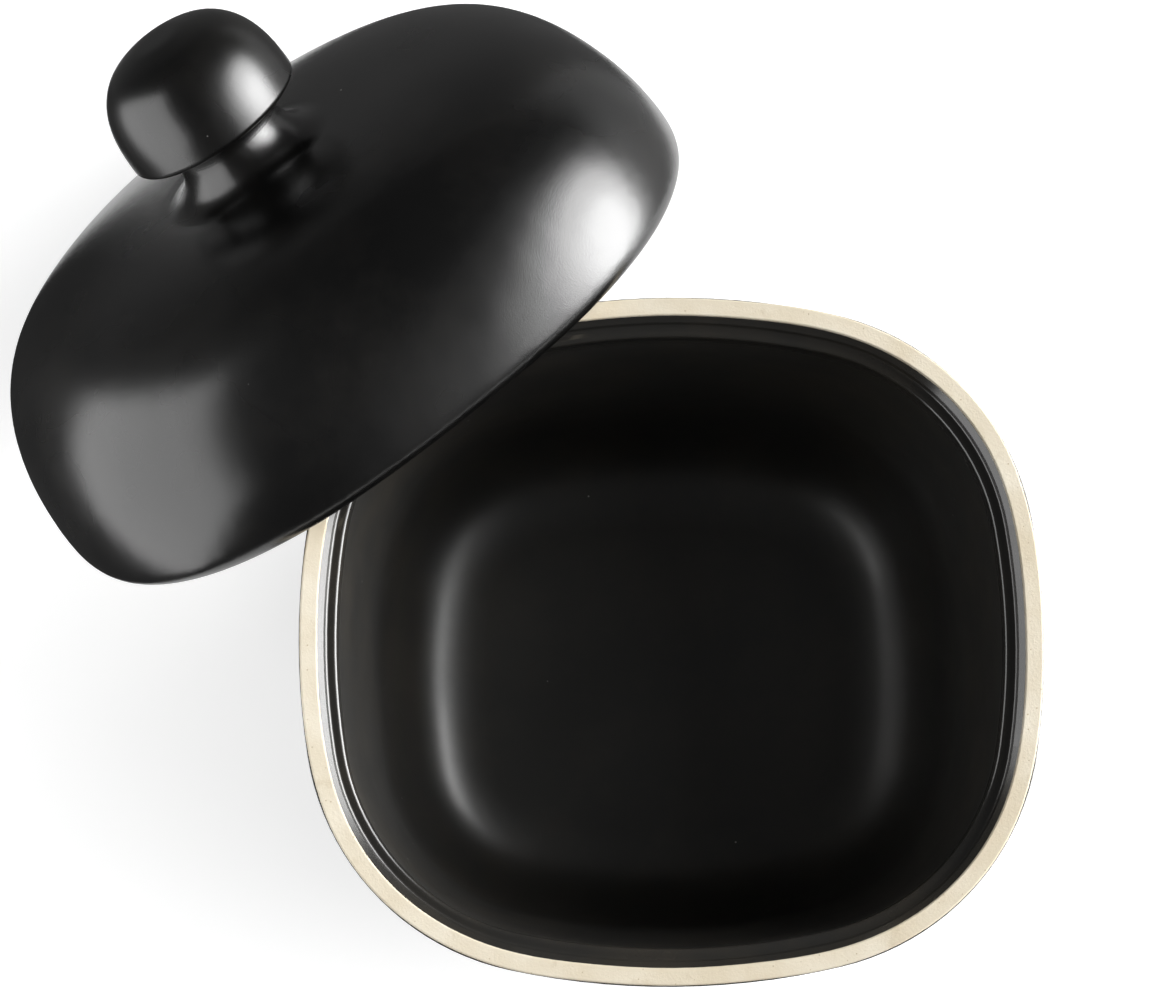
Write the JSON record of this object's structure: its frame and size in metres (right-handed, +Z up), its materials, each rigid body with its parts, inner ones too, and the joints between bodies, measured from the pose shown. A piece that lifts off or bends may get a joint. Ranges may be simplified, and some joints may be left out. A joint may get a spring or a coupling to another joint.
{
  "type": "biscuit jar",
  "caption": "Black-glazed soft-square stoneware biscuit jar with a bare clay rim; its domed lid with a mushroom knob is off and leans on the jar.",
  "frame": {"origin": "on the floor under the centre of the jar's foot ring", "axes": "+X along the jar's long side, +Y towards its back, +Z up; the lid leans on the -X +Y corner"},
  "size_m": [0.2595, 0.2579, 0.1561],
  "materials": {
    "jar_glaze": "gloss",
    "bare_clay": "matte",
    "bare_clay_foot": "matte",
    "lid_glaze": "satin",
    "bare_clay_seat": "matte",
    "knob_glaze": "satin"
  },
  "bodies": {
    "jar": {"jar_body": "jar_glaze", "jar_bare_rim": "bare_clay", "jar_foot_ring": "bare_clay_foot"},
    "lid": {"lid_shell": "lid_glaze", "lid_bare_seat": "bare_clay_seat", "lid_knob": "knob_glaze"}
  },
  "joints": [
    {"name": "lid_lift", "type": "slide", "parent": "jar", "child": "lid", "axis": [0, 0, 1], "range_m": [0, 0.15]}
  ]
}
